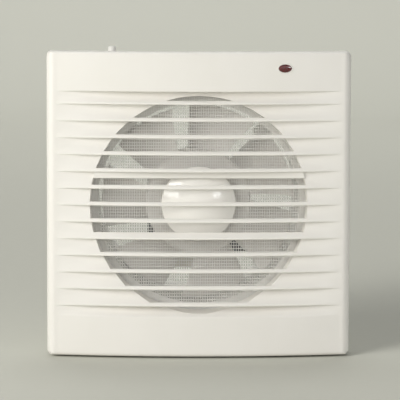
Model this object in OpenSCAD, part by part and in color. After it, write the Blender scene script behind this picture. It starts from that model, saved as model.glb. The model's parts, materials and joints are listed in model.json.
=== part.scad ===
// Axial extractor fan for a round duct: bowed louvred front cover, insect net,
// seven-blade impeller on a shaded-pole motor, and a wall housing with a duct spigot.
// X runs to the right, Z up, and the front faces -Y. The wall plane is Y = 0 and the
// duct axis is the Y axis.

/* [Front cover] */
// Width of the cover
cover_width = 180; // [178:1:184]
// Height of the cover
cover_height = 181; // [178:1:184]
// Distance of the cover's front face from the wall, at its left and right edges
cover_front = 26; // [25.5:0.1:27]
// How far the middle of the front face stands out beyond its edges
bow_rise = 7; // [5:0.1:7.5]
// Depth of the cover's rim
rim_depth = 12; // [10:0.5:12.5]
// Wall thickness of the cover
cover_wall = 2; // [1.6:0.1:2.2]
// Number of louvre lips
lip_count = 13; // [11:2:13]
// Distance between louvre lips
lip_pitch = 10; // [9.8:0.05:10.1]
// Height of the visible slat at each lip
slat_height = 2.3; // [1.8:0.1:2.6]
// Depth of the slats where they cross the opening
slat_depth = 2.3; // [1.8:0.1:2.6]

/* [Opening, net and cap] */
// Radius of the opening at its front
opening_r = 64.8; // [64:0.1:66]
// Radius of the opening at the net
opening_rear_r = 63.6; // [62:0.1:64]
// Radius of the round cap in front of the net
cap_r = 22.2; // [20:0.1:23]
// Radius of the cap's domed front
cap_dome_r = 40; // [38:1:45]

/* [Housing and spigot] */
// Width and height of the housing behind the cover
housing_size = 174; // [172:1:175]
// Outer radius of the duct spigot
spigot_r = 61.75; // [61.7:0.05:62]
// Inner radius of the duct spigot
throat_r = 60; // [59.8:0.1:60.2]
// Length of the spigot behind the wall plane
spigot_length = 58; // [50:1:70]
// Distance between wall screws, across and up
screw_spacing = 152; // [150:1:154]

/* [Impeller and motor] */
// Number of blades
blade_count = 7; // [5:1:9]
// Radius of the blade tips
blade_tip_r = 57.5; // [56:0.1:57.8]
// Outer radius of the hub
hub_r = 31.5; // [30:0.5:33]
// Radius of the motor shaft
shaft_r = 2; // [2:0.05:2]
// Radial clearance of the shaft in its bushes
bush_clearance = 0.04; // [0.02:0.01:0.08]

/* [Push button] */
// Distance of the button to the left of the duct axis
button_x = 51.4; // [48:0.2:53]
// Radius of the button
button_r = 2.3; // [2:0.1:2.4]

/* [Hidden] */
$fn = 96;
e = 0.5; // overshoot of a cutting tool

// Colours
white_plastic = [0.93, 0.92, 0.88];
grey_plastic = [0.80, 0.80, 0.76];
steel = [0.72, 0.72, 0.74];
lamination = [0.45, 0.46, 0.48];
copper = [0.72, 0.42, 0.22];
brass = [0.80, 0.66, 0.36];
black_rubber = [0.12, 0.12, 0.12];
red_lens = [0.40, 0.03, 0.03];

// Cover
half = cover_width / 2;
half_h = cover_height / 2;
field_half = 84; // half width of the louvre field, where the bow ends
field_top = 67.2; // lower edge of the plain top panel
field_bottom = -67.6; // lower edge of the louvre field
side_round = 5; // rounding of the left and right front edges
cover_corner = 3; // rounding of the outline's corners
bow_steps = 10; // straight stretches that the bow is built from
face_half = 84.5; // half width of the face, beyond which the rim begins
flat_edge = 0.08; // what is left of each lip at the ends of the louvres
lip_shift = -0.4; // height of the middle lip above the duct axis
recess = 0.04; // share of the bow left at the top of a louvre board
shelf = 1.3; // thickness of the step under each lip
net_front = -20.2; // front face of the net
rim_rear = cover_front - rim_depth;

// Housing
housing_half = housing_size / 2;
housing_front = -22;
housing_wall = 2;
housing_inside = housing_size - 2 * housing_wall;
housing_plate = 2.4;
housing_corner = 6;
mouth_front = -18.5;
mouth_r = 66;
screw_hole_r = 2.25;
cable_hole = [72, -46]; // x and z of the cable entry
cable_hole_r = 5;
entry_half = 12; // half height of the piece of back plate round the cable entry
collar_r = spigot_r + 0.6;
clamp_at = [64, -58]; // x and z of the cable clamp
block_at = [55, -72]; // x and z of the terminal block
lamp_at = [50.5, 81]; // x and z of the lamp and its lens

// Motor, along Y
bracket_front = 9;
stack_front = 23;
stack_rear = 39;
rotor_r = 10.6;
stator_bore_r = 11;
bolt_x = 23.5;
foot_r = 55.5; // radius at which the bracket is screwed to the housing
foot_rear = 17;
boss_rear = 27;
bush_r = 4.5;
front_bush_y = [14, 20];
rear_bush_y = [42, 48];

// Coil, around the lower leg of the stack
leg_z = [-35, -25];
coil_half_x = 16.6;
flange_t = 1.4;
coil_y = [14, 48];
coil_z = [-44.5, -15.5];

// Switch
button_y = -12;
button_top = 92.8;
switch_z = [56, 76];
plunger_low = 68;

function arc(centre, r, a0, a1, steps) =
    [for (i = [0 : steps]) let (a = a0 + (a1 - a0) * i / steps)
        [centre[0] + r * cos(a), centre[1] + r * sin(a)]];
function bow(x) = bow_rise * max(0, 1 - pow(x / field_half, 2));
function station(i) = -field_half + 2 * field_half * i / bow_steps;
function bow_line(front, share, from = -field_half, to = field_half) =
    [for (i = [0 : bow_steps]) let (x = from + (to - from) * i / bow_steps)
        [x, -(front + share * bow(x))]];
function reversed(list) = [for (i = [len(list) - 1 : -1 : 0]) list[i]];

// A cylinder along Y, from y0 to y1
module rod(r, y0, y1, x = 0, z = 0) {
    translate([x, y1, z]) rotate([90, 0, 0]) cylinder(r = r, h = y1 - y0);
}

// A box given by its low and high corners
module block(low, high) {
    translate(low) cube(high - low);
}

// A rectangular outline with round corners
module round_rectangle(width, height, r) {
    w = width / 2 - r;
    h = height / 2 - r;
    square([2 * w, height], center = true);
    square([width, 2 * h], center = true);
    for (x = [-w, w], z = [-h, h]) translate([x, z]) circle(r);
}

// An outline in X and Z, extruded along Y from y0 to y1
module plate(y0, y1) {
    translate([0, y1, 0]) rotate([90, 0, 0]) linear_extrude(y1 - y0) children();
}

// A closed skin over a row of rings that hold equal numbers of points. The two end
// faces are single polygons, or strips between the ring's two long sides.
module skin(rings, strips = false) {
    n = len(rings[0]);
    m = len(rings);
    cap = strips ? [for (i = [0 : n / 2 - 2]) [i, i + 1, n - 2 - i, n - 1 - i]]
        : [[for (i = [0 : n - 1]) i]];
    polyhedron(
        points = [for (ring = rings, p = ring) p],
        faces = concat(cap,
            [for (f = cap) [for (i = reversed(f)) (m - 1) * n + i]],
            [for (k = [0 : m - 2], i = [0 : n - 1]) let (j = (i + 1) % n)
                each [[k * n + i, (k + 1) * n + i, (k + 1) * n + j],
                    [k * n + i, (k + 1) * n + j, k * n + j]]]));
}

// ---- Front cover ----

// Heights of the louvre lips, from the top panel's edge down
lips = concat([field_top], [for (i = [0 : lip_count - 1])
    lip_shift + ((lip_count - 1) / 2 - i) * lip_pitch], [field_bottom]);

// How much of the bow a louvre board has, at a height above its own lip
function share(i, above) = 1 - (1 - recess) * above / (lips[i - 1] - lips[i]);

// The louvres' front line at one place across: heights against shares of the bow
front_line = concat([[field_top + shelf, 1], [field_top, 1], [field_top, recess]],
    [for (i = [1 : lip_count]) each [[lips[i], 1], [lips[i], recess]]],
    [[field_bottom, 1], [field_bottom - shelf, 1]]);

// The louvres' back line, one wall behind, with a step above each lip
back_line = concat([[field_top + shelf + e, recess], [field_top, recess]],
    [for (i = [1 : lip_count]) each [[lips[i] + shelf, share(i, shelf)],
        [lips[i] + shelf, recess]]],
    [[field_bottom, share(lip_count + 1, 0)], [field_bottom - shelf - e, 1]]);

// A solid behind a line of the louvres, as far back as y_back
module behind(line, depth, y_back, reach) {
    skin([for (i = [0 : bow_steps])
        let (x = station(i) * (field_half + reach) / field_half)
        concat([for (p = line)
                [x, -(cover_front + p[1] * (bow(x) + flat_edge)) + depth, p[0]]],
            [[x, y_back, line[len(line) - 1][0]], [x, y_back, line[0][0]]])]);
}

// The cover's section seen from above: bowed front, round edges and side walls
function cover_outline(t) = concat([[-half + t, -rim_rear]],
    arc([side_round - half, side_round - cover_front], side_round - t, 180, 270, 6),
    [for (p = bow_line(cover_front - t, 1)) p],
    arc([half - side_round, side_round - cover_front], side_round - t, 270, 360, 6),
    [[half - t, -rim_rear]]);

module cover_section() {
    polygon(concat(cover_outline(0), reversed(cover_outline(cover_wall))));
}

// A bowed wall between two heights, following the front face
module bowed_bar(z0, z1, front, rear, part, reach = field_half) {
    translate([0, 0, z0]) linear_extrude(z1 - z0)
        polygon(concat(bow_line(front, part, -reach, reach),
            reversed(bow_line(rear, part, -reach, reach))));
}

// The opening: a cone that narrows towards the net
module opening_cone(extra) {
    slope = (opening_r - opening_rear_r) / (cover_front + net_front);
    front_y = -(cover_front + bow_rise + 1);
    front_r = opening_rear_r + slope * (net_front - front_y) * 0.55;
    translate([0, net_front + e, 0]) rotate([90, 0, 0])
        cylinder(r1 = opening_rear_r + extra, r2 = front_r + extra,
            h = net_front + e - front_y);
}

module lens_outline(grow) {
    w = 7.9 / 2 + grow;
    r = 4.7 / 2 + grow;
    square([2 * (w - r), 2 * r], center = true);
    for (x = [-(w - r), w - r]) translate([x, 0]) circle(r);
}

module front_cover() {
    $fn = 64;
    color(white_plastic) {
        // louvre field with its hollow back and the opening's wall
        difference() {
            behind(front_line, 0, net_front, 0);
            difference() {
                behind(back_line, cover_wall, net_front + e, 1);
                rod(opening_r + cover_wall, -40, 0);
            }
            opening_cone(0);
        }
        // top and bottom panels
        difference() {
            intersection() {
                translate([0, 0, -half_h]) linear_extrude(cover_height) cover_section();
                block([-face_half, -40, -half_h], [face_half, 0, half_h]);
            }
            block([-field_half, -40, field_bottom - shelf / 2],
                [field_half, 0, field_top + shelf / 2]);
            translate([lamp_at[0], 0, lamp_at[1]]) plate(-40, 0) lens_outline(0.05);
        }
        // slats across the opening, and the two wider ribs that carry the cap
        intersection() {
            for (i = [1 : lip_count])
                bowed_bar(lips[i], lips[i] + slat_height, cover_front,
                    cover_front - slat_depth, 1);
            rod(opening_r + 0.9, -40, 0);
        }
        intersection() {
            union() {
                bowed_bar(lips[5] - 3.9, lips[5] + 0.4, cover_front + 1.2,
                    cover_front - 0.4, 0.2);
                bowed_bar(lips[5] - 0.6, lips[5] + 0.6, cover_front, cover_front - 0.4,
                    0.95);
                bowed_bar(lips[9], lips[9] + 3.8, cover_front - 0.2,
                    cover_front - slat_depth, 0.8);
            }
            rod(opening_r + 0.9, -40, 0);
        }
        // grip ribs along the inside of the rim, with round sides
        for (side = [-1, 1], x = [-60, -20, 20, 60])
            hull() for (end = [-3, 3])
                rod(0.4, -(cover_front - 1 + bow(x)), -(rim_rear + 1.3 + bow(x)), x + end,
                    side * (half_h - cover_wall - 0.4), $fn = 16);
    }
}

// The rim, moulded in one with the front cover: rounded sides, top and bottom walls
module cover_rim() {
    color(white_plastic) intersection() {
        union() {
            difference() {
                translate([0, 0, -half_h]) linear_extrude(cover_height) cover_section();
                block([-face_half, -40, -half_h - e], [face_half, 0, half_h + e]);
            }
            for (z = [-half_h, half_h - cover_wall]) translate([0, 0, z])
                linear_extrude(cover_wall) polygon(concat(
                    cover_outline(cover_wall), reversed(bow_line(rim_rear, 1))));
        }
        plate(-40, 0) round_rectangle(cover_width, cover_height, cover_corner);
    }
}

module led_lens() {
    front = cover_front + bow(lamp_at[0]);
    color(red_lens) translate([lamp_at[0], 0, lamp_at[1]]) {
        plate(-(front + 0.5), -(front - 2.6)) lens_outline(0);
        plate(-(front - 2.6), -(front - 3.6)) lens_outline(1.2);
    }
}

module insect_net() {
    color(grey_plastic) rod(opening_rear_r + 3, net_front, net_front + 0.4);
}

module net_ring() {
    color(white_plastic) difference() {
        rod(opening_rear_r + 3, net_front + 0.4, net_front + 1.2);
        rod(opening_rear_r, net_front, net_front + 2);
    }
}

module net_cap() {
    shoulder = 2;
    dome_half = cap_r - shoulder;
    apex = -29;
    drop = cap_dome_r - sqrt(pow(cap_dome_r, 2) - pow(dome_half, 2));
    edge = -apex - drop;
    tip = asin(dome_half / cap_dome_r);
    profile = concat([[0, -net_front], [cap_r, -net_front]],
        arc([cap_r - shoulder, edge - shoulder], shoulder, 0, 90 - tip, 5),
        arc([0, -apex - cap_dome_r], cap_dome_r, 90 - tip, 90, 12));
    color(white_plastic) {
        rotate([90, 0, 0]) rotate_extrude() polygon(profile);
        for (x = [-9, 9]) {
            rod(1.5, -(cover_front - 0.6 + 0.2 * bow(x)), -edge + 1, x,
                lips[5] - 2);
            rod(1.5, -(cover_front - slat_depth + 0.8 * bow(x) - 0.2), -edge + 1, x,
                lips[9] + 2);
        }
    }
}

// ---- Housing ----

module back_plate() {
    color(white_plastic) plate(-housing_plate, 0) difference() {
        round_rectangle(housing_size, housing_size, housing_corner);
        circle(collar_r);
        for (x = [-1, 1], z = [-1, 1])
            translate([x, z] * screw_spacing / 2) circle(screw_hole_r);
        translate([cable_hole[0] - entry_half, cable_hole[1] - entry_half])
            square([30, 2 * entry_half]);
    }
}

// The piece of back plate round the cable entry
module cable_entry() {
    x = (cable_hole[0] - entry_half + housing_half) / 2;
    color(white_plastic) plate(-housing_plate, 0) difference() {
        translate([x, cable_hole[1]])
            square([2 * (housing_half - x), 2 * entry_half], center = true);
        translate(cable_hole) circle(cable_hole_r);
    }
}

module housing_walls() {
    color(white_plastic) difference() {
        plate(housing_front, -housing_plate) difference() {
            round_rectangle(housing_size, housing_size, housing_corner);
            round_rectangle(housing_inside, housing_inside, housing_corner - housing_wall);
        }
        // button hole in the top wall
        translate([-button_x, button_y, housing_half - 4]) cylinder(r = 2.5, h = 6);
    }
}

// Posts and seats that stand on the back plate
module housing_seats() {
    color(white_plastic) {
        // posts for the lamp board
        for (x = [-4.5, 4.5])
            rod(2, -17.4, -housing_plate, lamp_at[0] + x, lamp_at[1] - 3);
        // seats for the switch and the terminal block
        block([-button_x - 6, -6, 60], [6 - button_x, -housing_plate, 74]);
        block([block_at[0] - 9, -4, block_at[1] - 5],
            [block_at[0] + 9, -housing_plate, block_at[1] + 5]);
        // bosses of the cable clamp
        for (x = [-7, 7]) difference() {
            rod(2.6, -9.5, -housing_plate, clamp_at[0] + x, clamp_at[1]);
            rod(1.3, -9.5 - e, -4, clamp_at[0] + x, clamp_at[1]);
        }
    }
}

module duct_mouth() {
    color(white_plastic) plate(mouth_front, mouth_front + 2) difference() {
        circle(mouth_r);
        circle(throat_r);
    }
}

// The throat and the spigot, with a collar that ends at the wall plane
module duct_tube() {
    color(white_plastic) difference() {
        union() {
            rod(collar_r, mouth_front + 2, 0);
            rod(spigot_r, -1, spigot_length);
        }
        rod(throat_r, mouth_front - e, spigot_length + e);
        // passage for the motor leads
        rotate([0, 28, 0]) block([throat_r - 3, -10.5, -3], [throat_r + 5, -4, 3]);
    }
}

// Bosses inside the throat that the motor bracket is screwed to
module bracket_bosses() {
    color(white_plastic) for (a = [45 : 90 : 315]) rotate([0, a, 0]) difference() {
        intersection() {
            block([foot_r - 4, foot_rear, -4], [throat_r + 1, boss_rear, 4]);
            rod(throat_r, foot_rear - e, boss_rear + e);
        }
        rod(1.6, foot_rear - e, boss_rear + e, foot_r, 0);
    }
}

module cable_grommet() {
    x = cable_hole[0];
    z = cable_hole[1];
    color(black_rubber) difference() {
        union() {
            rod(cable_hole_r + 2, -housing_plate - 1.6, -housing_plate, x, z);
            rod(cable_hole_r, -housing_plate, -0.4, x, z);
        }
        rod(3.5, -6, e, x, z);
    }
}

module cable_clamp() {
    color(white_plastic) difference() {
        block([clamp_at[0] - 10, -12.5, clamp_at[1] - 2.5],
            [clamp_at[0] + 10, -9.5, clamp_at[1] + 2.5]);
        for (x = [-7, 7]) rod(1.4, -13, -9, clamp_at[0] + x, clamp_at[1]);
    }
}

// A pan-head screw along Y whose head faces the front
module pan_screw(head_r, head_h, r, y_head, y_tip, x, z) {
    difference() {
        union() {
            rod(head_r, y_head - head_h, y_head, x, z);
            rod(r, y_head, y_tip, x, z);
        }
        block([x - head_r, y_head - head_h - e, z - 0.35],
            [x + head_r, y_head - head_h + 0.8, z + 0.35]);
    }
}

module cable_clamp_screws() {
    color(steel) for (x = [-7, 7])
        pan_screw(2.4, 1.7, 1.3, -12.5, -5, clamp_at[0] + x, clamp_at[1]);
}

// ---- Terminal block ----

block_ways = [-7, 0, 7];
block_bore_y = -9;

module terminal_block() {
    x = block_at[0];
    z = block_at[1];
    color(grey_plastic) difference() {
        block([x - 11, -15, z - 6], [x + 11, -4, z + 6]);
        for (way = block_ways) {
            translate([x + way, block_bore_y, z - 6 - e])
                cylinder(r = 2.2, h = 12 + 2 * e);
            rod(2, -16, block_bore_y, x + way, z);
        }
    }
}

module terminal_clamps() {
    color(brass) for (way = block_ways)
        translate([block_at[0] + way, block_bore_y, block_at[1] - 4.5]) difference() {
            cylinder(r = 2.2, h = 9);
            translate([0, 0, -e]) cylinder(r = 1.4, h = 9 + 2 * e);
        }
}

module terminal_screws() {
    color(steel) for (way = block_ways)
        pan_screw(1.8, 1.2, 1.4, -13, block_bore_y - 2.2, block_at[0] + way,
            block_at[1]);
}

// ---- Motor ----

// A strip from one radius to another at each of the bracket's four arms
module arm_strips(from, to, half_width) {
    for (a = [45 : 90 : 315]) rotate(a)
        translate([from, -half_width]) square([to - from, 2 * half_width]);
}

module motor_bracket() {
    arm_end = foot_r - 3;
    foot_end = throat_r - 0.6;
    top = bracket_front + 3;
    color(grey_plastic) {
        plate(bracket_front, top) difference() {
            union() {
                circle(28);
                arm_strips(20, arm_end, 2.5);
                arm_strips(foot_r - 4, foot_end, 4);
            }
            circle(7);
        }
        plate(top, foot_rear) difference() {
            union() {
                arm_strips(31, arm_end, 1.5);
                arm_strips(foot_r - 4, foot_end, 4);
            }
            for (a = [45 : 90 : 315]) rotate(a) translate([foot_r, 0]) circle(1.5);
        }
        plate(top, stack_front - 1.5) for (x = [-bolt_x, bolt_x])
            translate([x, 0]) difference() {
                circle(3.3);
                circle(2);
            }
    }
}

module bracket_screws() {
    color(steel) for (a = [45 : 90 : 315]) rotate([0, a, 0]) {
        rod(2.8, boss_rear, boss_rear + 2, foot_r, 0);
        rod(1.5, bracket_front + 3, boss_rear, foot_r, 0);
    }
}

module stator_stack() {
    color(lamination) plate(stack_front, stack_rear) difference() {
        translate([-30, leg_z[0]]) square([60, 15 - leg_z[0]]);
        translate([-17, leg_z[1]]) square([34, 10]);
        circle(stator_bore_r);
        for (x = [-1, 1]) {
            translate([x * bolt_x, 0]) circle(2.2);
            translate([x * 14 - 1, 4]) square(2);
        }
    }
}

// A ring around one pole face, through a slot in the stack and over its top
module shading_rings() {
    color(copper) for (x = [-15, 13]) {
        block([x, stack_front, 4], [x + 2, stack_rear, 6]);
        block([x, stack_front, 15], [x + 2, stack_rear, 17]);
        block([x, stack_front - 1.2, 4], [x + 2, stack_front, 17]);
        block([x, stack_rear, 4], [x + 2, stack_rear + 1.2, 17]);
    }
}

module coil_bobbin() {
    color(white_plastic) difference() {
        union() {
            for (x = [-coil_half_x, coil_half_x - flange_t])
                block([x, coil_y[0], coil_z[0]], [x + flange_t, coil_y[1], coil_z[1]]);
            block([-coil_half_x, stack_front - 0.8, leg_z[0] - 0.8],
                [coil_half_x, stack_rear + 0.8, leg_z[1] + 0.8]);
        }
        block([-20, stack_front, leg_z[0]], [20, stack_rear, leg_z[1]]);
    }
}

module coil_winding() {
    x = coil_half_x - flange_t;
    color(copper) difference() {
        block([-x, coil_y[0] + 0.8, coil_z[0] + 0.8], [x, coil_y[1] - 0.8, coil_z[1] - 0.8]);
        block([-20, stack_front - 0.8, leg_z[0] - 0.8],
            [20, stack_rear + 0.8, leg_z[1] + 0.8]);
    }
}

// A bearing bracket whose feet stand on the stack, drawn for the front one
module bearing_bracket() {
    difference() {
        union() {
            rod(7, front_bush_y[0], front_bush_y[1]);
            block([-20, 18.5, -7], [20, 20, 7]);
            for (x = [-20, 18.5]) block([x, 18.5, -7], [x + 1.5, stack_front, 7]);
            for (x = [-29, 18.5])
                block([x, stack_front - 1.5, -7], [x + 10.5, stack_front, 7]);
        }
        rod(bush_r, front_bush_y[0] - e, front_bush_y[1] + e);
        for (x = [-bolt_x, bolt_x]) rod(2.1, stack_front - 2, stack_front + e, x, 0);
    }
}

module front_bearing_bracket() {
    color(steel) bearing_bracket();
}

module rear_bearing_bracket() {
    color(steel) translate([0, stack_front + stack_rear, 0]) mirror([0, 1, 0])
        bearing_bracket();
}

module bush(span) {
    difference() {
        rod(bush_r, span[0], span[1]);
        rod(shaft_r + bush_clearance, span[0] - e, span[1] + e);
    }
}

module front_bush() {
    color(brass) bush(front_bush_y);
}

module rear_bush() {
    color(brass) bush(rear_bush_y);
}

module bush_retainers() {
    color(steel) for (y = [front_bush_y[0] - 0.8, rear_bush_y[1]]) difference() {
        rod(6.5, y, y + 0.8);
        rod(3, y - e, y + 0.8 + e);
    }
}

module motor_screws() {
    color(steel) for (x = [-bolt_x, bolt_x]) {
        rod(3.2, stack_rear + 1.5, stack_rear + 4, x, 0);
        rod(2, bracket_front + 3.5, stack_rear + 1.5, x, 0);
    }
}

// ---- Impeller ----

hub_front = -14;
hub_rear = 7;
blade_front = -12.6;
blade_rear = 6;
blade_first = 9; // angle of the first leading edge
blade_chord = 40; // angle that a blade spans
blade_cells = [4, 8]; // cells of a blade outwards and along its chord

// Half thickness of a blade along Y, at a share of its chord
function blade_half(s) = 0.35 + 0.55 * pow(4 * s * (1 - s), 0.5);
function blade_point(i, j, side) =
    let (r = hub_r + 0.03 + (blade_tip_r - hub_r - 0.03) * i / blade_cells[0],
        s = j / blade_cells[1],
        a = blade_chord * s - 6 * (i / blade_cells[0]),
        y = blade_front + (blade_rear - blade_front) * (0.8 * s + 0.2 * s * s))
    [r * cos(a), y + side * blade_half(s), r * sin(a)];

module blade() {
    skin([for (j = [0 : blade_cells[1]])
        concat([for (i = [0 : blade_cells[0]]) blade_point(i, j, -1)],
            [for (i = [blade_cells[0] : -1 : 0]) blade_point(i, j, 1)])], strips = true);
}

module impeller_hub() {
    color(grey_plastic) difference() {
        rotate([90, 0, 0]) rotate_extrude() polygon([[0, -hub_front],
            [hub_r - 3, -hub_front], [hub_r, -hub_front - 3], [hub_r, -hub_rear],
            [hub_r - 1.6, -hub_rear], [hub_r - 1.6, -hub_front - 3.6],
            [hub_r - 3.6, -hub_front - 1.6], [5, -hub_front - 1.6],
            [5, -hub_rear - 1], [0, -hub_rear - 1]]);
        rod(shaft_r, hub_front - e, hub_rear + 1 + e);
    }
}

// The blades, moulded in one with the hub
module impeller_blades() {
    color(grey_plastic) for (k = [0 : blade_count - 1])
        rotate([0, -blade_first - 360 * k / blade_count, 0]) blade();
}

module rotor() {
    color(steel) difference() {
        rod(rotor_r, stack_front - 2, stack_rear + 2);
        rod(shaft_r, stack_front - 3, stack_rear + 3);
    }
}

module motor_shaft() {
    color(steel) rod(shaft_r, hub_front - 3.4, 50);
}

module impeller_lock() {
    color(brass) difference() {
        rod(3.6, hub_front - 2.8, hub_front);
        rod(shaft_r, hub_front - 4, hub_front + e);
    }
}

module thrust_washers() {
    color(black_rubber) for (y = [front_bush_y[1] + 0.3, stack_rear + 2]) difference() {
        rod(3.6, y, y + 0.7);
        rod(shaft_r, y - e, y + 0.7 + e);
    }
}

// ---- Switch with its button ----

module switch_body() {
    x = -button_x;
    color(grey_plastic) difference() {
        block([x - 6.5, -18, switch_z[0]], [x + 6.5, -6, switch_z[1]]);
        translate([x, button_y, switch_z[0] + 3])
            cylinder(r = button_r + 0.06, h = switch_z[1] - switch_z[0]);
    }
}

module switch_terminals() {
    color(brass) for (x = [-3, 3])
        block([x - button_x - 1.4, -12.4, switch_z[0] - 5],
            [x - button_x + 1.4, -11.6, switch_z[0]]);
}

module switch_plunger() {
    tip_round = 0.9;
    collar = [81.6, 84.6]; // heights of the collar that stops under the top wall
    color(white_plastic) translate([-button_x, button_y, 0]) rotate_extrude()
        polygon(concat([[0, plunger_low], [button_r, plunger_low],
            [button_r, collar[0]], [3.6, collar[0]], [3.6, collar[1]],
            [button_r, collar[1]]],
            arc([button_r - tip_round, button_top - tip_round], tip_round, 0, 90, 6),
            [[0, button_top]]));
}

// A coil spring under the button
module switch_spring() {
    turns = 5;
    per_turn = 12;
    sides = 6;
    coil_r = 1.5;
    wire_r = 0.28;
    low = switch_z[0] + 3 + wire_r;
    high = plunger_low - wire_r;
    color(steel) translate([-button_x, button_y, 0])
        skin([for (k = [0 : turns * per_turn]) let (a = 360 * k / per_turn)
            [for (i = [0 : sides - 1]) let (b = 360 * i / sides,
                    r = coil_r + wire_r * cos(b))
                [r * cos(a), r * sin(a), low + (high - low) * k / (turns * per_turn)
                    - wire_r * sin(b)]]]);
}

// ---- Lamp ----

module led_board() {
    color([0.16, 0.35, 0.2])
        block([lamp_at[0] - 7, -19, 75.5], [lamp_at[0] + 7, -17.4, 84.6]);
}

module led_lamp() {
    color(red_lens) {
        rod(1.9, -20, -19, lamp_at[0], lamp_at[1]);
        rod(1.5, -23.6, -19.5, lamp_at[0], lamp_at[1]);
        translate([lamp_at[0], -23.6, lamp_at[1]]) sphere(r = 1.5);
    }
}

module led_resistor() {
    color([0.75, 0.65, 0.5]) translate([lamp_at[0] - 3, -20.1, 77.4])
        rotate([0, 90, 0]) cylinder(r = 1.1, h = 6);
}

// ---- Leads ----

// Leads run through these points, rounded by a smooth curve between them
motor_route = [[16.7, 44, -30], [23, 44, -30], [29.5, 42.5, -29.6], [34, 37, -29],
    [36, 30, -28.5], [42, 24, -27.8], [49, 19, -27.5], [51.5, 12, -27.4],
    [51.6, 4, -27.4], [51.6, -4, -27.4], [53.4, -7.4, -28.4], [58, -8, -31],
    [60.5, -8, -38], [56, -8, -47], [51.5, -8, -56], [52.5, -8.6, -62.5],
    [55, -9, -67.4]];
switch_route = [[-54.4, -12, 50.8], [-55, -11, 46.5], [-66, -7, 40], [-76, -6, 30],
    [-78, -6, 0], [-77, -6, -36], [-66, -6, -62], [-44, -6, -76], [-10, -6, -80],
    [24, -6, -81], [44, -7, -82], [48, -9, -77.6]];
led_route = [[50.5, -17.3, 79], [50.5, -14.5, 78.5], [51, -10, 74], [56, -7, 70],
    [68, -6.5, 68], [79, -6, 56], [82.5, -6, 30], [82.5, -6, -30], [82, -6, -58],
    [78, -6.5, -64.5], [69, -7, -63.4], [63, -8, -64], [62, -9, -67.4]];

function curve_point(route, t) =
    let (n = len(route) - 1, k = min(floor(t), n - 1), u = t - k,
        p0 = route[max(k - 1, 0)], p1 = route[k],
        p2 = route[k + 1], p3 = route[min(k + 2, n)])
    0.5 * (2 * p1 + (p2 - p0) * u + (2 * p0 - 5 * p1 + 4 * p2 - p3) * u * u
        + (3 * p1 - p0 - 3 * p2 + p3) * u * u * u);
function unit(v) = v / norm(v);

// A round lead along a route, with rings across its own direction
module lead(route, r, sides = 8, per_leg = 3) {
    n = (len(route) - 1) * per_leg;
    points = [for (k = [0 : n]) curve_point(route, k / per_leg)];
    skin([for (k = [0 : n])
        let (d = unit(points[min(k + 1, n)] - points[max(k - 1, 0)]),
            u = unit(cross(d, [0.31, 0.11, 0.94])), v = cross(d, u))
        [for (i = [0 : sides - 1]) let (b = 360 * i / sides)
            points[k] + r * cos(b) * u + r * sin(b) * v]]);
}

module motor_leads() {
    color([0.15, 0.25, 0.6]) lead(motor_route, 0.75);
}

module switch_leads() {
    color([0.5, 0.3, 0.2]) lead(switch_route, 0.9);
}

module led_leads() {
    color([0.7, 0.1, 0.1]) lead(led_route, 0.8);
}

back_plate();
cable_entry();
housing_walls();
housing_seats();
duct_mouth();
duct_tube();
bracket_bosses();
motor_bracket();
bracket_screws();
stator_stack();
coil_bobbin();
coil_winding();
shading_rings();
front_bearing_bracket();
rear_bearing_bracket();
front_bush();
rear_bush();
bush_retainers();
motor_screws();
terminal_block();
terminal_screws();
terminal_clamps();
cable_clamp();
cable_clamp_screws();
cable_grommet();
switch_body();
switch_terminals();
led_board();
led_lamp();
led_resistor();
motor_leads();
switch_leads();
led_leads();
impeller_hub();
impeller_blades();
rotor();
motor_shaft();
impeller_lock();
thrust_washers();
switch_plunger();
switch_spring();
front_cover();
cover_rim();
led_lens();
insect_net();
net_ring();
net_cap();
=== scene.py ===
"""Looks of the bathroom extractor fan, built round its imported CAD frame."""
import json
import math

import bmesh
import bpy
import numpy as np
from mathutils import Matrix, Vector


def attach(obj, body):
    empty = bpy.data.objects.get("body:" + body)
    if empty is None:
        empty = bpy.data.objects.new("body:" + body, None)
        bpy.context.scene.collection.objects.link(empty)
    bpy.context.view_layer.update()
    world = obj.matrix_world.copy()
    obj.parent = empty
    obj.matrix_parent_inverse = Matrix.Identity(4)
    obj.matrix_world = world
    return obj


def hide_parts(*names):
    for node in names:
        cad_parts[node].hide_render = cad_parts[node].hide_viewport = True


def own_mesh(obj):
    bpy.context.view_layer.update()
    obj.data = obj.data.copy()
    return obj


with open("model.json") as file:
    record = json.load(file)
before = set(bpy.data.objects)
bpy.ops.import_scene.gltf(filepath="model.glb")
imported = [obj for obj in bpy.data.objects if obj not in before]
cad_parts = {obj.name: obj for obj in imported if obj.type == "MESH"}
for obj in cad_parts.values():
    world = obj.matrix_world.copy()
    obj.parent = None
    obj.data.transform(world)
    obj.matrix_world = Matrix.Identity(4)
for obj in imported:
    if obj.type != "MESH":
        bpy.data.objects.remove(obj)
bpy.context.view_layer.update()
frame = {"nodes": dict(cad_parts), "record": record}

MM = 0.001
NODES = frame["nodes"]

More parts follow.
